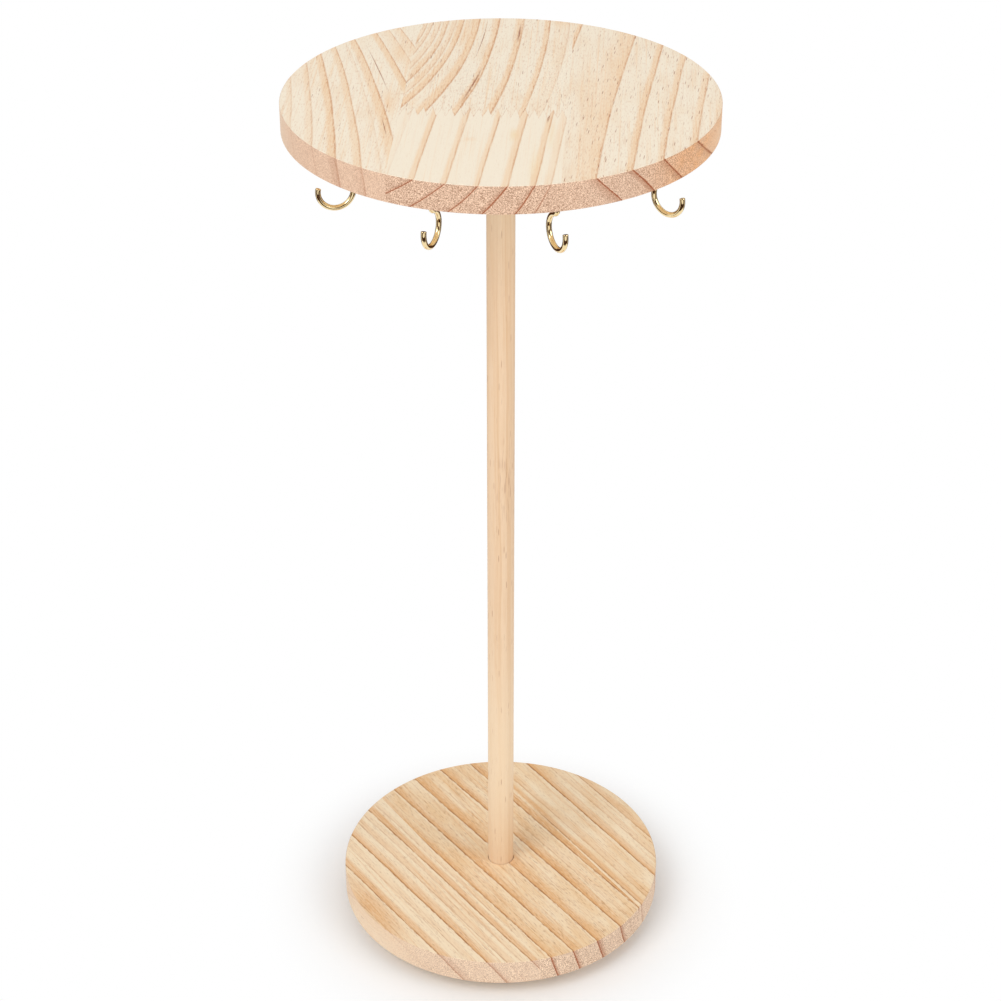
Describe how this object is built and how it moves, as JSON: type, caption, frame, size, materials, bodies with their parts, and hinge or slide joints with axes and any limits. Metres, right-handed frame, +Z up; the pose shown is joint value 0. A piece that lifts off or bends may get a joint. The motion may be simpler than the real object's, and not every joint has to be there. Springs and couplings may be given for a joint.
{
  "type": "rotating jewelry tower",
  "caption": "Free-standing pine tower: a round top with brass cup hooks under its rim, a dowel pole and a round base that turns on a low ball-bearing ring.",
  "frame": {"origin": "on the table, on the pole's axis, under the middle of the base", "axes": "+Z up along the pole and the turning axis, -Y the front that the picture shows, +X to its right"},
  "size_m": [0.2, 0.2, 0.4668],
  "materials": {
    "top_board_left": "sanded, clear matt oil",
    "top_board_centre_front": "sanded, clear matt oil",
    "top_board_centre_back": "sanded, clear matt oil",
    "top_board_right": "sanded, clear matt oil",
    "base_board_left": "sanded, clear matt oil",
    "base_board_centre": "sanded, clear matt oil",
    "base_board_right": "sanded, clear matt oil",
    "pole": "sanded, clear matt oil",
    "hook_brass": "polished",
    "insert_zinc": "zinc plated",
    "screw_steel": "zinc plated",
    "ring_aluminium": "satin",
    "ball_steel": "polished",
    "cage_nylon": "moulded",
    "pad_rubber": "matt"
  },
  "bodies": {
    "stand": {"turntable_outer_ring": "ring_aluminium", "rubber_pad_1": "pad_rubber", "rubber_pad_2": "pad_rubber", "rubber_pad_3": "pad_rubber", "rubber_pad_4": "pad_rubber", "rubber_pad_5": "pad_rubber", "rubber_pad_6": "pad_rubber"},
    "ball_carrier": {"ball_cage": "cage_nylon", "bearing_balls": "ball_steel"},
    "tower": {"top_board_left": "top_board_left", "top_board_centre_front": "top_board_centre_front", "top_board_centre_back": "top_board_centre_back", "top_board_right": "top_board_right", "base_board_left": "base_board_left", "base_board_centre": "base_board_centre", "base_board_right": "base_board_right", "pole": "pole", "hook_1": "hook_brass", "hook_2": "hook_brass", "hook_3": "hook_brass", "hook_4": "hook_brass", "hook_5": "hook_brass", "hook_6": "hook_brass", "hook_7": "hook_brass", "hook_8": "hook_brass", "hook_9": "hook_brass", "top_insert_nut": "insert_zinc", "hanger_bolt": "screw_steel", "pole_screw": "screw_steel", "ring_screw_1": "screw_steel", "ring_screw_2": "screw_steel", "ring_screw_3": "screw_steel", "ring_screw_4": "screw_steel", "turntable_inner_ring": "ring_aluminium"}
  },
  "joints": [
    {"name": "turntable_spin", "type": "hinge", "parent": "stand", "child": "tower", "pos_m": [0, 0, 0.0098], "axis": [0, 0, 1], "continuous": true},
    {"name": "cage_spin", "type": "hinge", "parent": "stand", "child": "ball_carrier", "pos_m": [0, 0, 0.0098], "axis": [0, 0, 1], "continuous": true}
  ],
  "couplings": [
    {"joint": "cage_spin", "follows": "turntable_spin", "ratio": 0.5}
  ]
}
